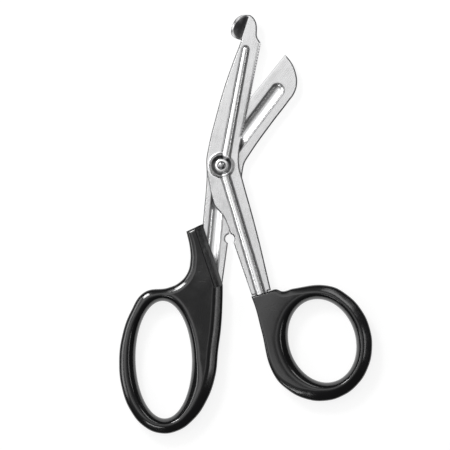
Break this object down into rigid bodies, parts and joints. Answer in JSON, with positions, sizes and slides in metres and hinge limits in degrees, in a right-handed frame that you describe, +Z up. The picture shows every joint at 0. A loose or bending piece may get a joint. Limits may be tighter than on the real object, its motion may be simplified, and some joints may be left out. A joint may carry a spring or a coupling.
{
  "type": "utility scissors",
  "caption": "Angled steel cutting shears with a blunt curled foot at the tip, a riveted pivot, wire notches in the shanks and black plastic loop handles.",
  "frame": {"origin": "centre of the bounding box of the half-open shears, on the plane that both handles rest on", "axes": "+Z up out of the plane the shears lie on and along the pivot, +Y towards the blade tips, +X towards the thumb handle"},
  "size_m": [0.1138, 0.1884, 0.0127],
  "materials": {
    "front_blade_steel": "satin ground stainless steel sheet",
    "rear_blade_steel": "satin ground stainless steel sheet",
    "rivet_steel": "polished stainless steel",
    "washer_steel": "bright stainless steel",
    "thumb_handle_plastic": "glossy black moulded plastic",
    "finger_handle_plastic": "glossy black moulded plastic"
  },
  "bodies": {
    "rear_half": {"rear_blade": "rear_blade_steel", "finger_handle": "finger_handle_plastic", "pivot_rivet": "rivet_steel", "pivot_washer": "washer_steel"},
    "front_half": {"front_blade": "front_blade_steel", "thumb_handle": "thumb_handle_plastic"}
  },
  "joints": [
    {"name": "blade_pivot", "type": "hinge", "parent": "rear_half", "child": "front_half", "pos_m": [-0.01088, 0.02636, 0.0055], "axis": [0, 0, 1], "range_deg": [-11, 40]}
  ]
}
